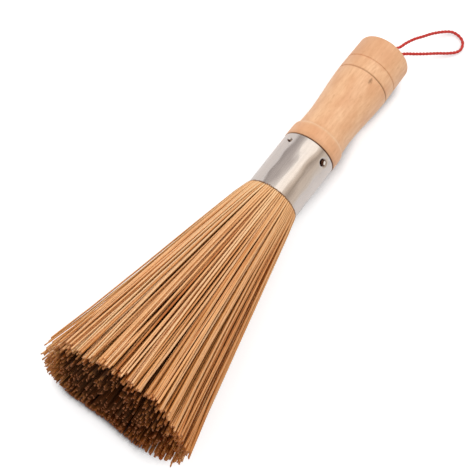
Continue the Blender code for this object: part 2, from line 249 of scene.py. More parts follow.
def read_evenly(line, step):
    """The same line with its points read off at even steps of its length, and the lengths up to them."""
    lengths = np.append(0, np.cumsum(np.linalg.norm(np.diff(line, axis=0), axis=1)))
    wanted = np.linspace(0, lengths[-1], round(lengths[-1] / step) + 1)
    return np.column_stack([np.interp(wanted, lengths, line[:, k]) for k in range(3)]), wanted


into_hole = np.array((0.0, 0.5, 1.0))[:, None] * IN_HOLE * BRUSH_AXES[2]
aside = np.array(((CORD_DIAMETER + CORD_GAP) / 2, 0.0, 0.0))
loop = CORD_ROUTE + (*END_CENTRE[:2], CORD_DIAMETER / 2)
knots = np.vstack((END_CENTRE - aside - into_hole[::-1], loop, END_CENTRE + aside - into_hole))
cord_line, cord_lengths = read_evenly(through(knots, POINTS_PER_STRETCH), CORD_STEP)

# %% [markdown]
# ## Finishes are small node trees
# Each finish below is a Principled shader with a few patterns feeding its colour, roughness or bump. These
# helpers keep a tree short: one adds a node with its values and links at once, and the others wrap the
# nodes that are used most.

# %% Helpers for node trees
def linear(red, green, blue):
    """A colour as it looks on a screen, from 0 to 255, turned into the linear light that shaders use."""
    share = np.array((red, green, blue)) / 255
    light = np.where(share <= 0.04045, share / 12.92, ((share + 0.055) / 1.055) ** 2.4)
    return (*light.tolist(), 1.0)


def add_node(tree, kind, settings=None, **inputs):
    """Adds a node. Each input is a value, or another node's output to link. Its name has _ for a space."""
    made = tree.nodes.new("ShaderNode" + kind)
    for label, value in (settings or {}).items():
        setattr(made, label, value)
    for label, value in inputs.items():
        plug(tree, made.inputs[label.replace("_", " ")], value)
    return made


def plug(tree, socket, value):
    if isinstance(value, bpy.types.NodeSocket):
        tree.links.new(value, socket)
    else:
        socket.default_value = value


def in_order(tree, kind, settings, values):
    """Adds a node whose inputs take the values in their own order."""
    made = add_node(tree, kind, settings)
    for socket, value in zip(made.inputs, values):
        plug(tree, socket, value)
    return made.outputs


def maths(tree, operation, *values, clamp=False):
    return in_order(tree, "Math", {"operation": operation, "use_clamp": clamp}, values)[0]


def vector_maths(tree, operation, *values):
    return in_order(tree, "VectorMath", {"operation": operation}, values)


def between(tree, value, low, high, start=0.0, stop=1.0):
    """start below low, stop above high, and a soft step from one to the other."""
    settings = {"interpolation_type": "SMOOTHSTEP"}
    limits = {"From_Min": low, "From_Max": high, "To_Min": start, "To_Max": stop}
    return add_node(tree, "MapRange", settings, Value=value, **limits).outputs[0]


def tinted(tree, share, under, over, how="MIX"):
    """The colour under, covered by the colour over as far as share says."""
    made = tree.nodes.new("ShaderNodeMix")
    made.data_type = "RGBA"
    made.blend_type = how
    sockets = {socket.identifier: socket for socket in made.inputs}
    for label, value in (("Factor_Float", share), ("A_Color", under), ("B_Color", over)):
        plug(tree, sockets[label], value)
    return next(socket for socket in made.outputs if socket.identifier == "Result_Color")


def covered(tree, colour, *layers):
    """The colour under one layer after another. Each layer is a share and a colour from 0 to 255."""
    for share, over in layers:
        colour = tinted(tree, share, colour, linear(*over))
    return colour


def ramp(tree, value, *stops):
    """Colours at places from 0 to 1, blended in between."""
    made = add_node(tree, "ValToRGB", Fac=value)
    while len(made.color_ramp.elements) < len(stops):
        made.color_ramp.elements.new(0.5)
    for element, (place, colour) in zip(made.color_ramp.elements, stops):
        element.position = place
        element.color = colour
    return made.outputs["Color"]


def mapped(tree, vector, settings=None, **values):
    return add_node(tree, "Mapping", settings, Vector=vector, **values).outputs[0]


def noise(tree, vector, scale, detail, stretch=None):
    """A cloudy pattern, drawn out along each axis for which stretch is below 1."""
    if stretch:
        vector = mapped(tree, vector, Scale=stretch)
    return add_node(tree, "TexNoise", Vector=vector, Scale=scale, Detail=detail).outputs["Fac"]


def point_value(tree, name):
    return add_node(tree, "Attribute", {"attribute_name": name}).outputs["Fac"]


def brush_place(tree):
    """The place on the brush's own axes. A mapping of type texture undoes a shift and a turn."""
    place = add_node(tree, "TexCoord").outputs["Object"]
    turn = (-(np.pi / 2 + REST_ANGLE), 0.0, 0.0)
    return mapped(tree, place, {"vector_type": "TEXTURE"}, Location=BRUSH_ORIGIN, Rotation=turn)


def new_finish(name, **values):
    """A material with its Principled shader's own values set, its tree and that shader."""
    material = bpy.data.materials.new(name)
    material.use_nodes = True
    shader = material.node_tree.nodes["Principled BSDF"]
    for label, value in values.items():
        shader.inputs[label.replace("_", " ")].default_value = value
    return material, material.node_tree, shader


def surfaced(tree, shader, colour, height, distance, strength=1.0):
    """Gives the shader its colour, and a bump that rises by the distance where the height is 1."""
    bump = add_node(tree, "Bump", Height=height, Distance=distance, Strength=strength)
    tree.links.new(colour, shader.inputs["Base Color"])
    tree.links.new(bump.outputs[0], shader.inputs["Normal"])


# %% [markdown]
# ## The cord's surface
# Two plies twist round each other, so the cut across the cord is two circles side by side, and it turns as
# it goes along. Carrying that outline along the route gives both plies in one surface. The outline is kept
# in polar form, one radius for each angle, which is simple to turn.

# %% Two plies carried along the route
PLY_RADIUS = 0.00062
PLY_OFFSET = 0.00026
TWIST_PITCH = 0.0046
CORD_SIDES = 24


def two_ply_radius(angle):
    """c cos a + sqrt(p^2 - c^2 sin^2 a), where c is a ply's distance from the middle, p its radius, and a
    the angle from the nearer ply's own direction."""
    nearer = (angle + np.pi / 2) % np.pi - np.pi / 2
    return PLY_OFFSET * np.cos(nearer) + np.sqrt(PLY_RADIUS**2 - (PLY_OFFSET * np.sin(nearer)) ** 2)


def twisted_cord(line, lengths):
    """Point(s, a) = line(s) + r(a - 2 pi s / pitch) (across cos a + above sin a), where across is square to
    the route and level, and above is square to both. Also gives how deep each point lies between plies."""
    along = unit(np.gradient(line, axis=0))
    across = unit(np.cross(along, (0.0, 0.0, 1.0)))
    above = np.cross(across, along)
    angle = full_turn(CORD_SIDES)
    radius = two_ply_radius(angle - 2 * np.pi * lengths[:, None] / TWIST_PITCH)
    spokes = across[:, None] * np.cos(angle)[:, None] + above[:, None] * np.sin(angle)[:, None]
    # painted shade between the plies, where light doesn't reach
    deep = 1 - (radius - radius.min()) / np.ptp(radius)
    return line[:, None] + radius[..., None] * spokes, deep


cord_rings, cord_deep = twisted_cord(cord_line, cord_lengths)
points, faces, places = capped(cord_rings, cord_line[0], cord_line[-1])
along_in_mm = np.pad(cord_lengths, 1, "edge") * 1000
uv = np.stack((places[..., 1] / CORD_SIDES, along_in_mm[places[..., 0]]), -1)
red_cord = make_piece("red_cord", points, faces, 60, uv, deep=np.pad(cord_deep.ravel(), 1))

# %% [markdown]
# ## The cord's finish
# Dyed cotton twine is matt, with fine fibres that run slantwise round each ply. It is darker between the
# plies, where light doesn't reach, and its raised fibres are lighter.

# %% Red twine
def red_twine():
    material, tree, shader = new_finish("red_twine", Roughness=0.85, Specular_IOR_Level=0.2)
    around = add_node(tree, "UVMap", {"uv_map": "surface"}).outputs[0]
    slanted = mapped(tree, around, Scale=(9.0, 1.6, 1.0), Rotation=(0.0, 0.0, 0.6))
    fibres = noise(tree, slanted, 3.0, 3.0)
    red = ramp(tree, fibres, (0.3, linear(194, 50, 46)), (0.7, linear(232, 84, 74)))
    red = covered(tree, red, (maths(tree, "MULTIPLY", point_value(tree, "deep"), 0.4), (140, 32, 30)))
    surfaced(tree, shader, red, fibres, 0.00012)
    return material


RED_TWINE = red_twine()
settle(red_cord, RED_TWINE, "red_twine", "hanging_cord")

# %% [markdown]
# ## Turned pieces
# A lathe shape is one outline of radius and height. Spinning it means: for each angle, radius times cosine
# and sine, and the height unchanged. The outline may start and end on the axis, where one point closes it.

# %% Spin an outline
def spun(outline, columns, sunk=None):
    """Rings of x = r cos a, y = r sin a, z for each point of the outline. sunk(a, z, r) is taken off r."""
    angle = full_turn(columns)
    radius = np.repeat(outline[:, :1], columns, 1)
    height = np.repeat(outline[:, 1:], columns, 1)
    if sunk is not None:
        radius = radius - sunk(angle[None], height, radius)
    return np.stack((radius * np.cos(angle), radius * np.sin(angle), height), -1)


def round_corner(middle, radius, start, stop, steps):
    """Points on a circle round a middle of radius and height, from one angle in degrees to another."""
    return on_circle(radius, np.radians(np.linspace(start, stop, steps + 1))) + middle


def wall(radius, heights):
    """Points of one radius at each of the heights."""
    return np.column_stack((np.full(len(heights), radius), heights))


# %% [markdown]
# ## Where the nails sink the ferrule
# Four small nails hold the ferrule on the tenon. Each was driven until its head pulled the thin sheet into
# the wood, so the sheet has a shallow round dimple there. The handle's tenon has the same dimples.

# %% The dimples
FERRULE_RADIUS = 0.0153
NAIL_TURNS = np.radians(37 + 90 * np.arange(4))
NAIL_FROM_EDGE = 0.0048
DIMPLE_DEPTH = np.array((0.0007, 0.0007, 0.0007, 0.0004))
DIMPLE_INNER = np.array((0.0016, 0.0016, 0.0016, 0.0012))
DIMPLE_OUTER = np.array((0.0031, 0.0031, 0.0031, 0.0021))


def soft_step(share):
    """0 below 0, 1 above 1, and 3 s^2 - 2 s^3 in between."""
    share = np.clip(share, 0, 1)
    return share * share * (3 - 2 * share)


def hump(distance, width):
    """exp(-(d / w)^2): 1 where the distance is 0, and next to nothing from two widths on."""
    return np.exp(-((distance / width) ** 2))


def dimples(angle, height, radius):
    """Full depth up to the inner distance from a nail, and none from the outer distance on, whatever the
    radius is."""
    nail_angle = np.arctan2(-np.cos(NAIL_TURNS), np.sin(NAIL_TURNS))[:, None, None]
    round_to = (angle - nail_angle + np.pi) % (2 * np.pi) - np.pi
    away = np.hypot(round_to * FERRULE_RADIUS, height + NAIL_FROM_EDGE)
    share = (away - DIMPLE_INNER[:, None, None]) / (DIMPLE_OUTER - DIMPLE_INNER)[:, None, None]
    return (DIMPLE_DEPTH[:, None, None] * (1 - soft_step(share))).max(axis=0)


# %% [markdown]
# ## The handle's outline
# The handle has a flat end with a broken edge, a slight bulge with two scored lines, a waist for the
# fingers, and a collar that meets the ferrule with a crisp lip. Between two given radii the outline follows
# half a cosine, which is level at both ends as a turner's gouge leaves it.

# %% The handle's outline
STATIONS = np.array(((0.0, 0.01535), (0.023, 0.0156), (0.057, 0.01375), (0.0646, 0.0141)))
GROOVES = np.array((0.0160, 0.0243))
GROOVE_HALF_WIDTH = 0.00045
GROOVE_DEPTH = 0.0005
LIP = GRIP_TOP - 0.0674
LIP_RADIUS = 0.0151
LIP_EDGE = 0.00015
COVE_HEIGHT = 0.0028
COLLAR_RADIUS = 0.0155
COLLAR_SWELL = ((0.01535, -0.0010), (0.01547, -0.0021))
SHOULDER = 0.0003
SHOULDER_EDGE = 0.0005
TENON_RADIUS = 0.0145
TENON_END = -0.0137
TENON_BEVEL = 0.0010
HOLE_RADIUS = 0.0025
HOLE_EDGE = 0.0003
HOLE_FLOOR = GRIP_TOP - 0.0150
END_ROUND = 0.0022


def grip_radius(from_end):
    """r = a + (b - a)(1 - cos(pi s)) / 2 between two stations, less the scored lines' round bottoms."""
    part = np.clip(np.searchsorted(STATIONS[:, 0], from_end, side="right") - 1, 0, len(STATIONS) - 2)
    (start, a), (stop, b) = STATIONS[part].T, STATIONS[part + 1].T
    radius = a + (b - a) * (1 - np.cos(np.pi * (from_end - start) / (stop - start))) / 2
    off_line = np.abs(from_end[:, None] - GROOVES) / GROOVE_HALF_WIDTH
    return radius - GROOVE_DEPTH * np.clip(1 - off_line**2, 0, None).max(axis=1)


def handle_outline():
    """From the cord hole's floor, out over the end, down the grip and collar, and in to the tenon's end."""
    close = GROOVES[:, None] + np.linspace(-1.2, 1.2, 17) * GROOVE_HALF_WIDTH
    from_end = np.unique(np.concatenate((np.linspace(END_ROUND, STATIONS[-1, 0], 75), close.ravel())))
    grip = np.column_stack((grip_radius(from_end), GRIP_TOP - from_end))
    end_radius = STATIONS[0, 1]
    hole = wall(HOLE_RADIUS, (HOLE_FLOOR, HOLE_FLOOR + 0.004, GRIP_TOP - 0.004))
    mouth = round_corner((HOLE_RADIUS + HOLE_EDGE, GRIP_TOP - HOLE_EDGE), HOLE_EDGE, 180, 90, 4)
    face = np.column_stack((np.linspace(0.0035, 0.0128, 10), np.full(10, GRIP_TOP)))
    edge = round_corner((end_radius - END_ROUND, GRIP_TOP - END_ROUND), END_ROUND, 90, 4, 10)
    swing = np.radians(np.linspace(8, 90, 9))
    rise = LIP_RADIUS - STATIONS[-1, 1]
    cove = np.column_stack((LIP_RADIUS - rise * np.cos(swing), LIP + COVE_HEIGHT * (1 - np.sin(swing))))
    lip = round_corner((LIP_RADIUS, LIP - LIP_EDGE), LIP_EDGE, 90, 20, 4)
    collar = np.vstack((COLLAR_SWELL, wall(COLLAR_RADIUS, (-0.0033, -0.0060)))) + (0.0, LIP)
    shoulder_middle = (COLLAR_RADIUS - SHOULDER_EDGE, SHOULDER + SHOULDER_EDGE)
    shoulder = round_corner(shoulder_middle, SHOULDER_EDGE, 0, -90, 5)
    tenon = wall(TENON_RADIUS, np.linspace(SHOULDER, TENON_END + TENON_BEVEL, 27))
    foot = (TENON_RADIUS - TENON_BEVEL, TENON_END)
    return np.vstack((hole, mouth, face, edge, grip, cove, lip, collar, shoulder, tenon, foot))


HANDLE_OUTLINE = handle_outline()
print("the handle's outline has", len(HANDLE_OUTLINE), "points")

# %% [markdown]
# ## The handle
# The tenon gives way to the ferrule's dimples. A scorched line lies in each scored groove, where the turner
# holds a wire against the spinning wood. Painted shade darkens the shoulder's gap under the ferrule's edge
# and the cord's hole, and all these marks are painted darker on the right, away from the lamp. The collar's
# lip gets a pale painted highlight. Two attributes of the points carry this to the finish.

# %% Make the handle
HANDLE_SIDES = 160
SCORCH_WIDTH = 0.00040
SCORCH_STRENGTH = (0.20, 0.52)
SHOULDER_GRIME = 0.9
HOLE_SHADE = 0.25
WEAR_WIDTH = 0.00085


def tenon_dimples(angle, height, radius):
    """The ferrule's dimples, on the tenon alone."""
    return np.where(height < SHOULDER, dimples(angle, height, radius), 0.0)


def handle_scorch(outline):
    """A hump of scorch at each scored line, a step of painted shade at the shoulder, and one even painted
    shade in the cord's hole.
    """
    radius, height = outline.T
    lines = hump(GRIP_TOP - height[:, None] - GROOVES, SCORCH_WIDTH) * SCORCH_STRENGTH
    shoulder = soft_step((0.0010 - height) / 0.0007) * SHOULDER_GRIME
    return np.where(radius > 0.012, np.maximum(lines.max(axis=1), shoulder), HOLE_SHADE * (radius < 0.0029))


def lip_wear(outline):
    """A hump at the collar's lip: a painted highlight along the edge."""
    return hump(outline[:, 1] - LIP, WEAR_WIDTH) * (outline[:, 0] > 0.0140)


handle_rings = laid_down(spun(HANDLE_OUTLINE, HANDLE_SIDES, tenon_dimples))
points, faces, _ = capped(handle_rings, *laid_down(((0.0, 0.0, HOLE_FLOOR), (0.0, 0.0, TENON_END))))
# painted shade: every mark is darker on the handle's right, away from the key lamp
uneven = 1 + 0.4 * np.cos(full_turn(HANDLE_SIDES))
scorch = np.pad(np.outer(handle_scorch(HANDLE_OUTLINE), uneven).ravel(), 1)
worn = np.pad(np.repeat(lip_wear(HANDLE_OUTLINE), HANDLE_SIDES), 1)
turned_handle = make_piece("turned_handle", points, faces, 40, scorch=scorch, worn=worn)

# %% [markdown]
# ## Beech
# Beech is pale and warm, with faint growth rings, soft blotches and many short dark flecks along the grain.
# The rings are circles round the tree's heart, far outside the handle, so the waist cuts them into long
# arches. A small knot sits just below the second scored line. The finish is a thin satin lacquer. Over the
# plain wood lie the rings, a redder collar, a browner end, a light painted shade from the cove down, the
# painted highlight on the lip, pores, flecks, the knot, and the scorched lines with the painted shade at the
# shoulder and in the cord's hole, in that order.

# %% Beech finish
WOOD_KNOT = (0.0022, -0.0154, GRIP_TOP - 0.0276)
TREE_HEART = (0.034, 0.021, 0.0)
TREE_TILT = (0.05, 0.03, 0.0)
GRAIN_BULGE = 0.0040
GRAIN_WANDER = 0.0050
GRAIN_WINDING = 2300.0


def beech():
    material, tree, shader = new_finish("turned_beech", Roughness=0.45, Specular_IOR_Level=0.62)
    place = brush_place(tree)
    parts = add_node(tree, "SeparateXYZ", Vector=place).outputs
    knot_way = vector_maths(tree, "SUBTRACT", place, WOOD_KNOT)["Vector"]
    from_knot = vector_maths(tree, "LENGTH", mapped(tree, knot_way, Scale=(1.0, 1.0, 0.55)))["Value"]
    heart = mapped(tree, place, Location=TREE_HEART, Rotation=TREE_TILT, Scale=(1.0, 1.0, 0.0))
    from_heart = vector_maths(tree, "LENGTH", heart)["Value"]
    bulged = maths(tree, "ADD", from_heart, between(tree, from_knot, 0.0, 0.009, GRAIN_BULGE, 0.0))
    wander = noise(tree, place, 120.0, 2.0, (1.0, 1.0, 0.25))
    wandered = maths(tree, "MULTIPLY_ADD", wander, GRAIN_WANDER, bulged)
    rings = maths(tree, "SINE", maths(tree, "MULTIPLY", wandered, GRAIN_WINDING))
    rings = maths(tree, "MULTIPLY", maths(tree, "MULTIPLY_ADD", rings, 0.5, 0.5), 0.22)
    end_band = between(tree, parts["Z"], GRIP_TOP - 0.0165, GRIP_TOP - 0.0130)
    end_band = maths(tree, "MULTIPLY", end_band, between(tree, parts["X"], -0.012, 0.012, 0.45, 0.05))
    blotches = noise(tree, place, 150.0, 3.0, (1.0, 1.0, 0.5))
    pores = noise(tree, place, 1500.0, 3.0, (1.0, 1.0, 0.22))
    flecks = noise(tree, place, 1000.0, 1.0, (1.0, 1.0, 0.3))
    ragged = maths(tree, "MULTIPLY_ADD", noise(tree, place, 900.0, 2.0), 0.0014, from_knot)
    wood = covered(
        tree,
        ramp(tree, blotches, (0.34, linear(232, 174, 128)), (0.66, linear(246, 196, 151))),
        (rings, (218, 154, 108)),
        (between(tree, parts["Z"], LIP - 0.0012, LIP + 0.0002, 0.24, 0.0), (240, 166, 116)),
        (end_band, (220, 157, 112)),
        # painted shade from the cove down
        (between(tree, parts["Z"], LIP + 0.0006, LIP + 0.0035, 0.16, 0.0), (210, 148, 102)),
        # painted highlight along the lip
        (maths(tree, "MULTIPLY", point_value(tree, "worn"), 0.55), (252, 212, 170)),
        (between(tree, pores, 0.42, 0.72, 0.0, 0.27), (214, 150, 104)),
        (between(tree, flecks, 0.60, 0.74, 0.0, 0.22), (198, 132, 84)),
        (between(tree, ragged, 0.0009, 0.0021, 0.8, 0.0), (142, 94, 50)),
        (point_value(tree, "scorch"), (118, 68, 30)),
    )
    surfaced(tree, shader, wood, pores, 0.00004, 0.5)
    return material


settle(turned_handle, beech(), "beech", "handle")

# %% [markdown]
# ## The ferrule
# A drawn steel tube: an outer wall, an inner wall and two rims whose edges are broken round. The outline is
# a loop here, not a line from axis to axis, so the last ring joins the first.

# %% Make the ferrule
FERRULE_LENGTH = 0.0350
FERRULE_BORE = 0.0148
EDGE = 0.00022
FERRULE_SIDES = 224
RIM_GRIME = 0.0005


def ferrule_outline():
    """Down the outside, round the mouth's rim, up the inside and round the upper rim. The points lie closer
    together over the dimples."""
    outer, inner, low = FERRULE_RADIUS - EDGE, FERRULE_BORE + EDGE, EDGE - FERRULE_LENGTH
    down = np.concatenate((np.linspace(-EDGE, -0.0095, 30), np.linspace(-0.0105, low, 22)))
    low_out = round_corner((outer, low), EDGE, 0, -90, 4)[1:]
    low_in = round_corner((inner, low), EDGE, -90, -180, 4)[:-1]
    high_in = round_corner((inner, -EDGE), EDGE, 180, 90, 4)[1:]
    high_out = round_corner((outer, -EDGE), EDGE, 90, 0, 4)[:-1]
    outside, inside = wall(FERRULE_RADIUS, down), wall(FERRULE_BORE, down[::-1])
    return np.vstack((outside, low_out, low_in, inside, high_in, high_out))


FERRULE_OUTLINE = ferrule_outline()
ferrule_rings = laid_down(spun(FERRULE_OUTLINE, FERRULE_SIDES, dimples))
numbers = np.arange(len(FERRULE_OUTLINE) * FERRULE_SIDES).reshape(-1, FERRULE_SIDES)
faces, _ = faces_of(np.vstack((numbers, numbers[:1])))
height = FERRULE_OUTLINE[:, 1:]
# painted shade: dark in the dimples and along the upper rim, where the ferrule's edge meets the shoulder
sunk = dimples(full_turn(FERRULE_SIDES)[None], height, None) / DIMPLE_DEPTH[0]
rim = soft_step((np.abs(height + FERRULE_LENGTH / 2) - FERRULE_LENGTH / 2 + RIM_GRIME) / RIM_GRIME)
grime = np.maximum(0.9 * sunk**2, 0.5 * rim * (height > -0.01))
steel_ferrule = make_piece("steel_ferrule", ferrule_rings.reshape(-1, 3), faces, 50, grime=grime)

# %% [markdown]
# ## Brushed stainless steel
# The tube was drawn and then polished along its length, which leaves fine scratches along the tube and a
# slightly wavy wall. So the reflections of the studio form bands along the tube with soft, uneven edges.

# %% Steel finish
def brushed_steel(name, colour, roughness):
    material, tree, shader = new_finish(name, Metallic=1.0)
    place = brush_place(tree)
    scratches = noise(tree, place, 2200.0, 3.0, (1.0, 1.0, 0.02))
    waves = noise(tree, place, 80.0, 1.0, (1.0, 1.0, 0.6))
    smudges = noise(tree, place, 260.0, 3.0)
    metal = covered(
        tree,
        colour,
        (between(tree, scratches, 0.3, 0.7, 0.0, 0.12), (150, 138, 130)),
        # painted darkness: shade in the ferrule's dimples and at its upper rim, and on a nail shade round the
        # head's rim and a dark reflection over one side
        (point_value(tree, "grime"), (78, 50, 36)),
    )
    rough = between(tree, smudges, 0.25, 0.75, roughness - 0.04, roughness + 0.06)
    tree.links.new(rough, shader.inputs["Roughness"])
    surfaced(tree, shader, metal, maths(tree, "MULTIPLY_ADD", scratches, 0.0012, waves), 0.0022, 0.8)
    return material


ferrule_steel = brushed_steel("ferrule_steel", linear(206, 196, 190), 0.17)
settle(steel_ferrule, ferrule_steel, "stainless_steel", "ferrule")

# %% [markdown]
# ## The nails
# Each nail is a lathe shape too: a domed head with a thin rim, a straight shank and a point. Its own axis
# points out of the ferrule, so it needs three more directions before it joins the brush. Each head gets a
# rust-brown painted darkness: shade round its rim and a dark reflection over one side, so only a spot near
# the middle stays bright.

# %% Make the nails
HEAD_RADII = (0.00160, 0.00150, 0.00150, 0.00115)
SHANK_RADIUS = 0.0008
NAIL_SEATS = FERRULE_RADIUS - DIMPLE_DEPTH + 0.0003
NAIL_POINT = 0.0049
POINT_LENGTH = 0.0018
NAIL_SIDES = 40


def nail_outline(head_radius, seat):
    """The dome is part of a circle of radius (h^2 + r^2) / 2h for a head of radius r that rises by h."""
    rise, rim = 0.0006, 0.0003
    dome = (rise**2 + head_radius**2) / (2 * rise)
    top = seat + rim + rise
    slope = np.linspace(0.12, 1.0, 8) * np.arcsin(head_radius / dome)
    head = np.column_stack((dome * np.sin(slope), top - dome * (1 - np.cos(slope))))
    shank = wall(SHANK_RADIUS, (seat, NAIL_POINT + POINT_LENGTH))
    return np.vstack((head, (head_radius, seat), shank, (0.0002, NAIL_POINT))), top


def driven(points, turn):
    """x across + y along + z out, from the nail's place on the brush's axis."""
    out = np.array((np.sin(turn), -np.cos(turn), 0.0))
    across = np.cross((0.0, 0.0, 1.0), out)
    directions = np.array((across, np.cross(out, across), out))
    return laid_down(points @ directions - (0.0, 0.0, NAIL_FROM_EDGE))


nail_steel = brushed_steel("nail_steel", linear(235, 228, 220), 0.16)
rust_side = 0.5 - 0.5 * np.cos(full_turn(NAIL_SIDES) - 0.6)
for number, (turn, head_radius, seat) in enumerate(zip(NAIL_TURNS, HEAD_RADII, NAIL_SEATS), 1):
    outline, nail_top = nail_outline(head_radius, seat)
    nail_rings = spun(outline, NAIL_SIDES)
    points, faces, _ = capped(nail_rings, (0.0, 0.0, nail_top), (0.0, 0.0, NAIL_POINT))
    from_middle = np.linalg.norm(nail_rings[..., :2], axis=-1) / head_radius
    # painted darkness, rust-brown: shade round the head's rim and a dark reflection over one side
    rust = np.pad(soft_step((from_middle - 0.75 + 0.62 * rust_side) / 0.3).ravel(), 1)
    nail = make_piece(f"domed_nail_{number}", driven(points, turn), faces, 35, grime=rust)
    settle(nail, nail_steel, "nail_steel", f"nail_{number}")

# %% [markdown]
# ## The knot in the handle
# The cord's two ends are tied together and glued in the bottom of their hole. What shows at the bottom of
# the hole is a tight lump with the twine's turns winding round it.

# %% Make the knot
KNOT_HALF = 0.0020
KNOT_RADIUS = 0.0021
KNOT_MIDDLE = HOLE_FLOOR + 0.0003 + KNOT_HALF
KNOT_SIDES = 36
RIDGE_SHARE = 0.07
RIDGE_WINDING = 2400.0


def knot_ridges(angle, height, radius):
    """Two ridges that wind round the lump, like turns of twine: a share of r times 1 + cos(2 a - k z)."""
    return radius * RIDGE_SHARE * (1 + np.cos(2 * angle - (height - KNOT_MIDDLE) * RIDGE_WINDING))


swing = np.radians(np.linspace(75, -75, 15))
knot_outline = np.column_stack((KNOT_RADIUS * np.cos(swing) ** 0.6, KNOT_MIDDLE + KNOT_HALF * np.sin(swing)))
knot_rings = laid_down(spun(knot_outline, KNOT_SIDES, knot_ridges))
knot_ends = laid_down(((0.0, 0.0, KNOT_MIDDLE + KNOT_HALF), (0.0, 0.0, KNOT_MIDDLE - KNOT_HALF)))
points, faces, _ = capped(knot_rings, *knot_ends)
# an even painted shade, as the knot sits at the bottom of the hole
tied_knot = make_piece("tied_knot", points, faces, 60, deep=np.full(len(points), 0.3))
settle(tied_knot, RED_TWINE, "red_twine", "cord_knot")

# %% [markdown]
# ## Where the bamboo strips start
# Some eight hundred strips are packed in the ferrule like the pages of a rolled book: flat side out, in rings
# one inside the other. In each ring random widths are scaled until they fill it. Seen from above, the outer
# ring makes the skin that leaves the steel.

# %% Roots of the strips
MOUTH_RADIUS = 0.0142
RING_PITCH = 0.00084
RING_COUNT = 16
MEAN_WIDTH = 0.00099
rng = np.random.default_rng(12)


def ringed_roots():
    """In the ring of radius R - k p, strip j sits where the widths before it and half its own end: at the
    angle (w_1 + ... + w_j-1 + w_j / 2) / r."""
    places, widths = [], []
    for radius in MOUTH_RADIUS - RING_PITCH * np.arange(RING_COUNT):
        width = rng.uniform(0.72, 1.28, max(3, round(2 * np.pi * radius / MEAN_WIDTH)))
        width *= 2 * np.pi * radius / width.sum()
        turn = (np.cumsum(width) - width / 2) / radius + rng.uniform(0, 2 * np.pi)
        places.append(on_circle(radius, turn))
        widths.append(width)
    return np.vstack(places), np.concatenate(widths)


roots, strip_width = ringed_roots()
STRIP_COUNT = len(roots)
print(f"{STRIP_COUNT} strips, from {1000 * strip_width.min():.2f} to {1000 * strip_width.max():.2f} mm wide")

# %% [markdown]
# ## Where they end
# Each strip keeps its direction and the fan opens to three times the mouth's width. The springy strips
# spread themselves: the outer four rings push into one dense skin, and the inner ones fill the space within.
# So each radius in the mouth maps to a radius at the tips, and then neighbours that lie too close push each
# other away. The fan is flat underneath, where it rests. On its left it is a little slack, and on its right
# the strips splay.

# %% Tips of the strips
FAN_RADIUS = 0.0441
FAN_UNDERSIDE = 0.0393
LEFT_SLACK = 0.0040
RIGHT_SPLAY = 0.0017
OWN_SLACK = 0.0009
INNER_ROOM = 0.0032
SKIN_CROWDING = 0.0017


def fan_reach(place):
    """How far the fan reaches in a point's direction: its radius, less a hump of slack round -X and more by a
    hump of splay round +X, and cut flat where it meets the table."""
    direction = unit(place)
    from_left = np.arctan2(direction[:, 1], -direction[:, 0])
    from_right = np.arctan2(direction[:, 1], direction[:, 0])
    reach = FAN_RADIUS - LEFT_SLACK * hump(from_left, 0.45) + RIGHT_SPLAY * hump(from_right, 0.6)
    return np.minimum(reach, FAN_UNDERSIDE / np.clip(direction[:, 1], 1e-6, None))


def held_within(place, reach):
    """Points that lie further out than their reach move in to it."""
    return place / np.maximum(np.linalg.norm(place, axis=1) / reach, 1)[:, None]


def push_apart(place, room, reach, rounds):
    """Each round, two points nearer than their room move apart by a third of what they lack."""
    for _ in range(rounds):
        way = place[:, None] - place[None]
        apart = np.linalg.norm(way, axis=-1) + np.eye(len(place))
        wanted = (room[:, None] + room[None]) / 2
        lack = np.clip(wanted - apart, 0, None) * (1 - np.eye(len(place)))
        place = place + (way / apart[..., None] * (lack / 3)[..., None]).sum(axis=1)
        place = held_within(place, reach(place))
    return place


inner_share = np.linalg.norm(roots, axis=1) / MOUTH_RADIUS
share_steps = np.linspace(0, 1, 400)
strips_within = 0.62 * share_steps**2 + 0.38 * share_steps**12
tip_share = np.interp(inner_share**2, strips_within, share_steps)
own_slack = rng.uniform(0, OWN_SLACK, STRIP_COUNT) * (1 + 1.4 * (roots[:, 0] > 0.010))
room = INNER_ROOM - SKIN_CROWDING * tip_share**8
tips = roots / MOUTH_RADIUS * (tip_share / inner_share)[:, None] * FAN_RADIUS
tips = push_apart(tips, room, lambda place: fan_reach(place) - own_slack, 30)
print("outermost tips at", (1000 * np.linalg.norm(tips, axis=1).max()).round(1), "mm from the axis")

# %% [markdown]
# ## Tufts, ends and strays
# Real strips cling to each other in tufts and leave dark clefts between them. Each tip moves part of the way
# to the nearest of some scattered tuft centres, and then wanders a little by itself. A tuft's strips also end
# together, so the fan's upper edge is notched, while the underside was cut straight against a board. Seven
# strips at the sides stray by themselves, to ends that are listed.

# %% Gather the tips and cut them
STRIPS_START = -0.0328
STRIPS_END = -0.1732
STRAYS = np.array((
    (-0.0431, 0.0000, -0.1690),
    (-0.0426, -0.0070, -0.1664),
    (-0.0430, 0.0062, -0.1650),
    (0.0418, 0.0182, -0.1736),
    (0.0442, 0.0090, -0.1704),
    (0.0440, 0.0010, -0.1668),
    (0.0420, -0.0060, -0.1610),
))
RIM_TUFTS = 30
INNER_TUFTS = 44
CLING = 0.17
WANDER = 0.0008
LATE_BEND = 0.0006


def sunflower(count, radius):
    """Point k lies at r = R sqrt((k + 0.5) / n) and at k times the golden angle."""
    k = np.arange(count)
    return on_circle(radius * np.sqrt((k + 0.5) / count), k * np.pi * (3 - np.sqrt(5)))


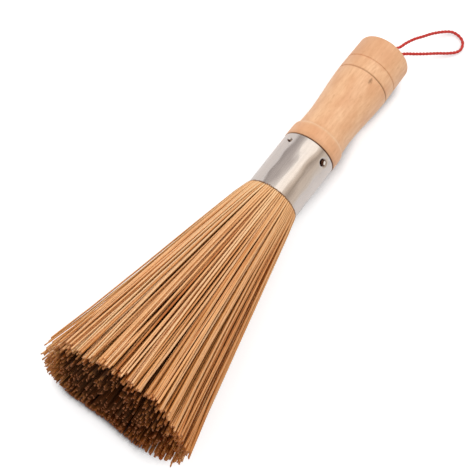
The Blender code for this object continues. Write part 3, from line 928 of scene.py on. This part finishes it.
rim_centres = on_circle(0.0430, full_turn(RIM_TUFTS) + rng.normal(0, 0.05, RIM_TUFTS))
inner_centres = sunflower(INNER_TUFTS, 0.0375) + rng.normal(0, 0.0015, (INNER_TUFTS, 2))
tuft_centres = np.vstack((inner_centres, rim_centres))
tuft = np.linalg.norm(tips[:, None] - tuft_centres[None], axis=-1).argmin(axis=1)
on_underside = tips[:, 1:] > 0.030
own_way = rng.normal(0, WANDER, tips.shape) * (1 - 0.6 * on_underside)
tips = tips + CLING * (tuft_centres[tuft] - tips) * ~on_underside + own_way
tips = held_within(tips, fan_reach(tips) - own_slack)
highness = np.clip(0.5 - tips[:, 1] / (2 * FAN_RADIUS), 0, 1)
tuft_cut = 0.0058 * rng.beta(1.1, 1.7, len(tuft_centres))[tuft]
own_cut = 0.0052 * rng.beta(1.2, 3.0, STRIP_COUNT)
middle_cut = 0.0027 * hump(tips[:, 0] - 0.002, 0.030)
tip_height = STRIPS_END + (tuft_cut + own_cut) * (0.05 + 0.95 * highness**1.2) + middle_cut * (1 - highness)
strayed = np.linalg.norm(tips[:, None] - STRAYS[None, :, :2], axis=-1).argmin(axis=0)
bends_more = 1 + 1.3 * (tip_share[:, None] < 0.96)
late_bend = rng.normal(0, LATE_BEND, tips.shape) * bends_more * (tips[:, 1:] < 0.034)
late_bend[strayed] = STRAYS[:, :2] - tips[strayed]
tip_height[strayed] = STRAYS[:, 2]
print(f"tips lie {1000 * np.ptp(tip_height):.1f} mm apart along the brush, {len(set(strayed))} of them stray")

# %% [markdown]
# ## The strips' shape
# A strip was split from a culm and shaved, so it is a flat bar with its bark side's corners worn. Six
# corners make its cut. It leaves the mouth, swells out a little past the rim, and runs to its tip with a
# slight bow and a slight twist. Its end is cut askew. Seven stretches and two ends make 46 faces, few enough
# to repeat.

# %% Strip sections carried from root to tip
SHARES = np.array((0.0, 0.025, 0.09, 0.30, 0.58, 0.82, 0.997, 1.0))
SECTION = np.array(((-0.5, -0.5), (0.5, -0.5), (0.5, 0.22), (0.3, 0.5), (-0.3, 0.5), (-0.5, 0.22)))
SWELL = 0.0011
BULGE = 0.0004
BOW = 0.0006
TURN_AT_ROOT = 0.10
TWIST = 0.38
THICKNESS = (0.00056, 0.00078)
ASKEW = 0.0005
RAGGED = 0.00015


def at_height(places, height=0.0):
    """Places across the brush get their height along it."""
    return np.column_stack((places, np.broadcast_to(height, len(places))))


def strip_lines():
    """Line(t) = root + (tip - root) t + S (1 - exp(-t / 0.03))(1 - t) outwards + 4 t (1 - t) bow + t^4 bend.
    S grows towards the left. The bow is a bulge of the outer strips, which turns hollow on the right, and a
    random part. The bend shows near the tip."""
    t = SHARES[None, :, None]
    start = at_height(roots, STRIPS_START)[:, None]
    stop = at_height(tips, tip_height)[:, None]
    outward = at_height(roots / MOUTH_RADIUS)[:, None]
    random_bow = at_height(rng.normal(0, BOW, (STRIP_COUNT, 2)))[:, None]
    fullness = BULGE * (1 - 3.2 * np.maximum(outward[..., :1], 0))
    bow = fullness * (tip_share**6)[:, None, None] * outward + random_bow
    swell = SWELL * (1 - np.exp(-t / 0.03)) * (1 - t) * outward * (1 - 0.3 * np.minimum(outward[..., :1], 0))
    return start + (stop - start) * t + swell + 4 * t * (1 - t) * bow + t**4 * at_height(late_bend)[:, None]


def strip_directions(lines):
    """Along the strip, across it and out through its flat side, which faces away from the axis at the root
    and turns by an angle a + b t from there. Across and out have one line for each share t."""
    along = unit(lines[:, -1] - lines[:, 0])
    across = unit(np.cross(along, at_height(unit(roots))))
    out = np.cross(across, along)
    turn = rng.normal(0, TURN_AT_ROOT, (STRIP_COUNT, 1)) + rng.normal(0, TWIST, (STRIP_COUNT, 1)) * SHARES
    cos, sin = np.cos(turn)[..., None], np.sin(turn)[..., None]
    return along, across[:, None] * cos + out[:, None] * sin, out[:, None] * cos - across[:, None] * sin


def strip_rings(lines):
    """Corner(t, k) = line(t) + u_k width across + v_k thickness out, with the last ring cut askew."""
    along, across, out = strip_directions(lines)
    thickness = rng.uniform(*THICKNESS, STRIP_COUNT)
    wide = across[:, :, None] * SECTION[:, :1] * (0.97 * strip_width)[:, None, None, None]
    thick = out[:, :, None] * SECTION[:, 1:] * thickness[:, None, None, None]
    rings = lines[:, :, None] + wide + thick
    askew = rng.normal(0, ASKEW, (STRIP_COUNT, 1)) * SECTION[:, 0] + rng.normal(0, RAGGED, (STRIP_COUNT, 6))
    rings[:, -1] += askew[..., None] * along[:, None]
    return rings


rings = strip_rings(strip_lines())
print("strip rings:", rings.shape)

# %% [markdown]
# ## Which strips lie in the shade of others
# A strip whose neighbours reach further out than itself shows only as a dark line between them, so it gets a
# painted shade. How far they reach is worked out at the tips, for every pair at once. Strips from the inside
# of the bundle, and those on its underside that lie against the table, get painted shade too.

# %% How deep each strip lies
def covered_by(place):
    """For each point i, the largest of d_ij (1 - s_ij / 1.5 mm), where d_ij is how much further out than i
    the point j reaches in i's own direction and s_ij is how far to its side j lies."""
    reach = np.linalg.norm(place, axis=1)
    direction = place / reach[:, None]
    further = direction @ place.T - reach[:, None]
    to_side = np.abs(direction[:, :1] * place[:, 1] - direction[:, 1:] * place[:, 0])
    return (further * np.clip(1 - to_side / 0.0015, 0, None)).max(axis=1)


to_right = tips[:, 0] / FAN_RADIUS
# painted light on the fan's left: its strips get less painted shade and a paler tone
on_left = soft_step(-1.6 * to_right)
shaded = (0.33 - 0.17 * on_left) * soft_step((covered_by(tips) - 0.0003) / 0.0014)
inside = soft_step((0.97 - tip_share) / 0.32) * (1 - 0.26 * soft_step((to_right - 0.2) / 0.4))
# painted shade on the underside, where the strips lie against the table
underneath = 0.72 * soft_step((tips[:, 1] - 0.024) / 0.012)
depth = np.maximum(np.maximum(inside, shaded), underneath)
print("strips in the shade of others:", int((depth > 0.5).sum()))

# %% [markdown]
# ## All strips in one mesh
# Every strip has the same faces, so one strip's table is repeated with its point numbers moved on. The flat
# ends are two faces each. Four attributes go with the points: the strip's own tone, which is partly its
# tuft's, with painted light on the fan's left and painted shade towards its right; how far along the strip a
# point lies; the painted shade of a strip deep in the bundle; and how near a point is to the strip's inner
# edges, which are the fibrous ones. No point may lie under the table or past the imported fan's front.

# %% Make the strips
EACH = len(SHARES) * 6
LOWEST = (-1.0, -0.1268, 0.0001)
PATTERN_LENGTH = 140
PATTERN_STEP = np.array((7.31, 3.7))


def one_strip():
    """Faces of one strip's sides and both its ends, and each corner's place round and along it."""
    sides, places = faces_of(np.arange(EACH).reshape(-1, 6))
    ends = np.array(((0, 1, 2, 3), (0, 3, 4, 5)))
    faces = np.vstack((sides, ends, ends[:, ::-1] + EACH - 6))
    round_it = np.vstack((places[..., 1], np.zeros((4, 4))))
    along_it = np.vstack((SHARES[places[..., 0]], np.zeros((2, 4)), np.ones((2, 4))))
    return faces, np.stack((round_it, along_it * PATTERN_LENGTH), -1)


strip_faces, strip_uv = one_strip()
number = np.arange(STRIP_COUNT)[:, None, None]
own_tone = 0.74 * rng.beta(1.5, 1.1, STRIP_COUNT) + 0.26 * rng.uniform(0, 1, len(tuft_centres))[tuft]
# painted shade towards the fan's right in the strips' tone, except the rightmost strips, and painted light on
# its left
on_right = soft_step((to_right - 0.25) / 0.5) * (1 - 1.4 * soft_step((to_right - 0.84) / 0.1))
own_tone = own_tone + 0.22 * on_left - 0.20 * on_right + 0.03
bamboo_strips = make_piece(
    "bamboo_strips",
    np.maximum(laid_down(rings.reshape(-1, 3)), LOWEST),
    (strip_faces + number * EACH).reshape(-1, 4),
    0.0,
    (strip_uv + number[..., None] * PATTERN_STEP).reshape(-1, 4, 2),
    tone=np.repeat(own_tone, EACH),
    along=np.tile(np.repeat(SHARES, 6), STRIP_COUNT),
    deep=np.repeat(depth, EACH),
    edge=np.tile((1.0, 1.0, 0.7, 0.05, 0.05, 0.7), STRIP_COUNT * len(SHARES)),
)

# %% [markdown]
# ## Split bamboo
# No two strips have the same colour: most are golden tan, some pale and some reddish. Fine fibres run the
# whole length. The split sides are rougher than the flat bark side. Painted shade falls on the split sides
# and on the strips deep in the bundle, and turns their colour a deeper brown; it eases off over each strip's
# last few millimetres, so the stubs' ends look lit. A painted shadow darkens the strips inside the ferrule's
# mouth and just past it. The cut tips show the culm's reddish brown.

# %% Bamboo finish
def bamboo():
    material, tree, shader = new_finish("split_bamboo", Roughness=0.55)
    lengthwise = add_node(tree, "UVMap", {"uv_map": "surface"}).outputs[0]
    along_strip, edge = point_value(tree, "along"), point_value(tree, "edge")
    fibres = noise(tree, lengthwise, 2.0, 2.0, (1.3, 0.06, 1.0))
    patches = maths(tree, "MULTIPLY_ADD", noise(tree, lengthwise, 1.0, 1.0, (0.3, 0.04, 1.0)), 0.5, -0.25)
    own = maths(tree, "ADD", point_value(tree, "tone"), patches, clamp=True)
    colour = ramp(
        tree,
        own,
        (0.0, linear(182, 98, 54)),
        (0.22, linear(218, 146, 88)),
        (0.5, linear(246, 184, 126)),
        (0.78, linear(254, 201, 150)),
        (1.0, linear(255, 217, 172)),
    )
    colour = covered(
        tree,
        colour,
        (between(tree, fibres, 0.38, 0.72, 0.0, 0.35), (190, 116, 60)),
        (between(tree, along_strip, 0.05, 0.35, 0.3, 0.0), (255, 214, 162)),
    )
    # painted shade: a little stronger along the strip, easing off over its last few millimetres so the stubs'
    # ends look lit
    lighter_tip = between(tree, along_strip, 0.968, 1.0, 1.15, 0.62)
    deep = maths(tree, "MULTIPLY", point_value(tree, "deep"), lighter_tip)
    darkness = maths(tree, "MULTIPLY_ADD", edge, 0.36, deep, clamp=True)
    # the painted shade's colour, which turns browner as it darkens
    shade = ramp(
        tree,
        darkness,
        (0.0, (1.0, 1.0, 1.0, 1.0)),
        (0.33, (0.64, 0.475, 0.28, 1.0)),
        (0.66, (0.31, 0.19, 0.09, 1.0)),
        (1.0, (0.11, 0.066, 0.048, 1.0)),
    )
    colour = covered(
        tree,
        tinted(tree, 1.0, colour, shade, "MULTIPLY"),
        (between(tree, along_strip, 0.997, 0.9985, 0.0, 0.7), (160, 102, 70)),
        # painted shadow of the ferrule's mouth over the strips inside it and just past it
        (between(tree, along_strip, 0.0185, 0.0230, 0.85, 0.0), (92, 54, 30)),
    )
    tree.links.new(maths(tree, "MULTIPLY_ADD", edge, -0.14, 0.14), shader.inputs["Specular IOR Level"])
    surfaced(tree, shader, colour, fibres, 0.00008, 0.5)
    return material


settle(bamboo_strips, bamboo(), "bamboo", "bamboo_bristles")

# %% [markdown]
# ## The table
# The product lies on a white sweep. A floor that only scatters light would look grey, so its material adds
# some light of its own where the camera or a mirror-like surface sees it. That light fades and the white gets
# darker where something lies close above the floor, so the tight shadow right under the brush stays. The
# shadow reaches further at the fan's right corner and on the right of the ferrule and the handle, and less
# far on the handle's left. Past the handle's end the floor stays nearly white.

# %% White floor with a shadow
FLOOR_HALF = 3.0
SHADOW_REACH = 0.0095
FURTHER_AT_CORNER = (("X", 0.015, 0.042), ("Y", -0.115, -0.085, 0.008, 0.0))
FURTHER_BY_FERRULE = (("Y", -0.005, 0.015), ("Y", 0.060, 0.090, 1.0, 0.0), ("X", 0.0, 0.012, 0.0, 0.008))
FURTHER_BY_HANDLE = (("Y", 0.05, 0.08), ("X", -0.012, 0.012, -0.0025, 0.0020))


def shadow_reach(tree, place):
    """The common reach, and at each of three places the product of its steps along X or Y."""
    reach = SHADOW_REACH
    for steps in (FURTHER_AT_CORNER, FURTHER_BY_FERRULE, FURTHER_BY_HANDLE):
        further = 1.0
        for axis, *step in steps:
            further = maths(tree, "MULTIPLY", further, between(tree, place[axis], *step))
        reach = maths(tree, "ADD", reach, further)
    return reach


def mirrored(tree, path):
    """1 for a ray that comes from a mirror-like or a clear surface."""
    return maths(tree, "MAXIMUM", path["Is Glossy Ray"], path["Is Transmission Ray"])


def white_sweep():
    material, tree, shader = new_finish("white_sweep", Roughness=0.9, Specular_IOR_Level=0.0)
    path = add_node(tree, "LightPath").outputs
    place = add_node(tree, "SeparateXYZ", Vector=add_node(tree, "TexCoord").outputs["Object"]).outputs
    reach = shadow_reach(tree, place)
    openness = add_node(tree, "AmbientOcclusion", {"samples": 12}, Distance=reach).outputs["AO"]
    past_handle = between(tree, place["Y"], 0.129, 0.135, 0.0, 0.84)
    lit = maths(tree, "MAXIMUM", between(tree, openness, 0.46, 0.93), past_handle)
    white = tinted(tree, lit, linear(92, 80, 84), linear(236, 236, 237))
    tree.links.new(white, shader.inputs["Base Color"])
    for_camera = maths(tree, "MULTIPLY", path["Is Camera Ray"], maths(tree, "MULTIPLY", lit, 0.44))
    strength = maths(tree, "MULTIPLY_ADD", mirrored(tree, path), 0.16, for_camera)
    glow = add_node(tree, "Emission", Color=(1.0, 1.0, 1.0, 1.0), Strength=strength)
    both = in_order(tree, "AddShader", None, (shader.outputs[0], glow.outputs[0]))
    tree.links.new(both[0], tree.nodes["Material Output"].inputs["Surface"])
    return material


floor_mesh = bpy.data.meshes.new("floor")
floor_corners = np.array(((-1, -1, 0), (1, -1, 0), (1, 1, 0), (-1, 1, 0))) * FLOOR_HALF
floor_mesh.from_pydata(floor_corners.tolist(), [], [(0, 1, 2, 3)])
floor_mesh.materials.append(white_sweep())
floor = put_in_scene("floor", floor_mesh)

# %% [markdown]
# ## The studio's light
# The room is a tent of white cloth with grey gaps in it, and it runs along the brush. Metal is all
# reflection, so the tent's stripes become the ferrule's bands: the angle round the brush, from one side over
# the top to the other, picks the brightness. Matt surfaces see the same tent as one soft glow that is
# stronger overhead. A wide lamp over the brush gives the steel its cream highlight. A key lamp stands to the
# left, off the path of the steel's reflections, and draws the soft shadow on the brush's right.

# %% Room and lamps
ROOM_STRIPES = (
    (0.228, (0.97, 0.95, 0.96)),
    (0.248, (0.46, 0.44, 0.44)),
    (0.298, (0.56, 0.53, 0.52)),
    (0.335, (0.68, 0.65, 0.64)),
    (0.370, (0.66, 0.63, 0.61)),
    (0.392, (0.95, 0.92, 0.90)),
    (0.422, (1.00, 1.00, 0.97)),
    (0.515, (1.00, 0.96, 0.88)),
    (0.562, (1.00, 0.90, 0.78)),
    (0.586, (0.90, 0.79, 0.67)),
    (0.609, (0.48, 0.41, 0.34)),
    (0.634, (0.70, 0.62, 0.54)),
    (0.665, (0.94, 0.85, 0.74)),
    (0.706, (0.88, 0.82, 0.73)),
    (0.742, (0.96, 0.92, 0.87)),
    (0.765, (0.97, 0.97, 0.98)),
)
GLOW_TOWARDS = (0.05, 0.12, 0.99)


def studio_room():
    """Shown: stripes by atan2(x, z), white near the horizon. Lighting: a + b c^4, where c is the cosine
    between a direction and the glow's middle."""
    world = bpy.data.worlds.new("studio")
    bpy.context.scene.world = world
    world.use_nodes = True
    tree = world.node_tree
    direction = add_node(tree, "TexCoord").outputs["Generated"]
    parts = add_node(tree, "SeparateXYZ", Vector=direction).outputs
    round_brush = maths(tree, "ARCTAN2", parts["X"], parts["Z"])
    turn = maths(tree, "MULTIPLY_ADD", round_brush, 0.5 / np.pi, 0.5)
    stripes = ramp(tree, turn, *((place, (*colour, 1.0)) for place, colour in ROOM_STRIPES))
    shown = tinted(tree, between(tree, parts["Z"], 0.02, 0.12, 1.0, 0.0), stripes, (1.0, 1.0, 1.0, 1.0))
    towards = vector_maths(tree, "DOT_PRODUCT", direction, GLOW_TOWARDS)["Value"]
    lobe = maths(tree, "POWER", maths(tree, "MAXIMUM", towards, 0.0), 4.0)
    lighting = maths(tree, "MULTIPLY_ADD", lobe, 0.95, 0.48)
    path = add_node(tree, "LightPath").outputs
    seen = maths(tree, "MAXIMUM", path["Is Camera Ray"], mirrored(tree, path))
    tree.links.new(tinted(tree, seen, lighting, shown), tree.nodes["Background"].inputs["Color"])


def soft_lamp(name, place, target, size, power, colour):
    """An area lamp that looks at a target: its -Z points there."""
    data = bpy.data.lights.new(name, "AREA")
    data.shape = "RECTANGLE"
    data.size, data.size_y = size
    data.energy = power
    data.color = colour
    back = np.array(place) - target
    side = np.cross((0.0, 1.0, 0.0), back)
    directions = unit(np.array((side, np.cross(back, side), back)))
    put_in_scene(name, data).matrix_world = standing(*directions, place)


BRUSH_MIDDLE = (0.0, 0.0, 0.02)
studio_room()
soft_lamp("overhead_softbox", (-0.125, 0.45, 1.10), (-0.125, 0.45, 0.0), (0.79, 1.2), 1.75, (1.0, 0.97, 0.92))
soft_lamp("key_softbox", (-0.72, -0.30, 0.91), BRUSH_MIDDLE, (0.5, 0.5), 2.95, (1.0, 0.985, 0.96))

# %% [markdown]
# ## The view transform
# Colours are shown as they are written, with the Standard view transform. The dressed brush may reach
# only a little past the imported model's box.

# %% Standard view transform
bpy.context.scene.view_settings.view_transform = "Standard"
